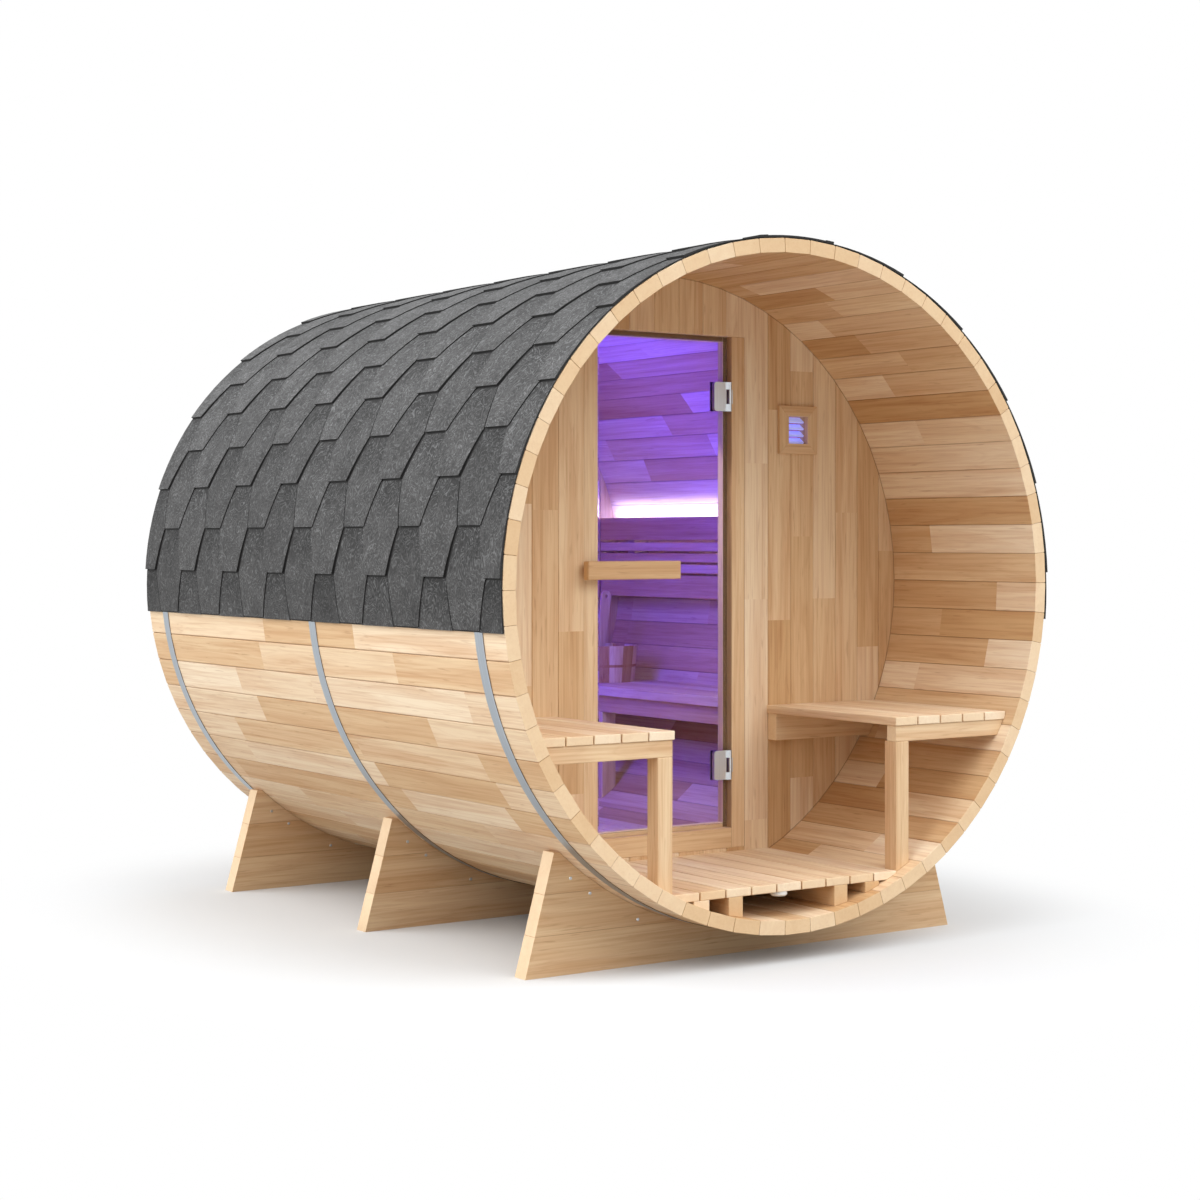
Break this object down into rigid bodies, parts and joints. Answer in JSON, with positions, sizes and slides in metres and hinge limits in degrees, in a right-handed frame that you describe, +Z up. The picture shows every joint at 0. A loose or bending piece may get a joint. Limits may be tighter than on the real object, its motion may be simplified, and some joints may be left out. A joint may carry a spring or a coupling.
{
  "type": "barrel sauna",
  "caption": "Barrel-shaped outdoor sauna of wooden staves on saddles, with a shingle roof, an open porch with benches and a glass door to a heated cabin.",
  "frame": {"origin": "on the ground under the middle of the barrel", "axes": "+Z up, +Y from the porch to the back, +X to the right of someone facing the porch"},
  "size_m": [1.8458, 2.135, 1.9165],
  "materials": {
    "stave_wood": "planed softwood, clear oiled",
    "wall_wood": "planed tongue-and-groove softwood",
    "bench_wood": "planed softwood",
    "saddle_wood": "planed softwood",
    "handle_wood": "sanded softwood",
    "bucket_wood": "sanded softwood",
    "band_steel": "satin stainless",
    "hinge_steel": "satin stainless",
    "shingle": "mineral-granule bitumen",
    "door_glass": "clear tempered",
    "drain_plastic": "satin",
    "light_strip": "lit diffuser"
  },
  "bodies": {
    "sauna": {"top_staves": "stave_wood", "upper_right_staves": "stave_wood", "lower_right_staves": "stave_wood", "bottom_staves": "stave_wood", "lower_left_staves": "stave_wood", "upper_left_staves": "stave_wood", "front_band": "band_steel", "middle_band": "band_steel", "back_band": "band_steel", "front_saddle": "saddle_wood", "middle_saddle": "saddle_wood", "back_saddle": "saddle_wood", "right_shingles": "shingle", "left_shingles": "shingle", "ridge_cap": "shingle", "front_wall_left": "wall_wood", "front_wall_right": "wall_wood", "front_wall_over_door": "wall_wood", "front_wall_under_door": "wall_wood", "back_wall": "wall_wood", "left_door_post": "wall_wood", "right_door_post": "wall_wood", "door_sill": "wall_wood", "door_stops": "wall_wood", "hinge_leaves": "hinge_steel", "vent_frame": "wall_wood", "vent_louvres": "wall_wood", "porch_floor_slats": "bench_wood", "cabin_floor_slats": "bench_wood", "floor_joists": "bench_wood", "floor_battens": "bench_wood", "drain_cap": "drain_plastic", "left_bench_slats": "bench_wood", "right_bench_slats": "bench_wood", "bench_rails": "bench_wood", "bench_ledgers": "bench_wood", "bench_legs": "bench_wood", "cabin_bench_slats": "bench_wood", "cabin_bench_apron": "bench_wood", "cabin_bench_bearers": "bench_wood", "cabin_bench_legs": "bench_wood", "backrest_boards": "bench_wood", "backrest_battens": "bench_wood", "light_strip": "light_strip", "water_bucket": "bucket_wood", "ladle": "bucket_wood"},
    "door": {"door_glass": "door_glass", "door_handle": "handle_wood", "handle_pegs": "handle_wood", "hinge_clamps": "hinge_steel"}
  },
  "joints": [
    {"name": "door_swing", "type": "hinge", "parent": "sauna", "child": "door", "pos_m": [0.2365, -0.4705, 0.99], "axis": [0, 0, 1], "range_deg": [0, 100]}
  ]
}
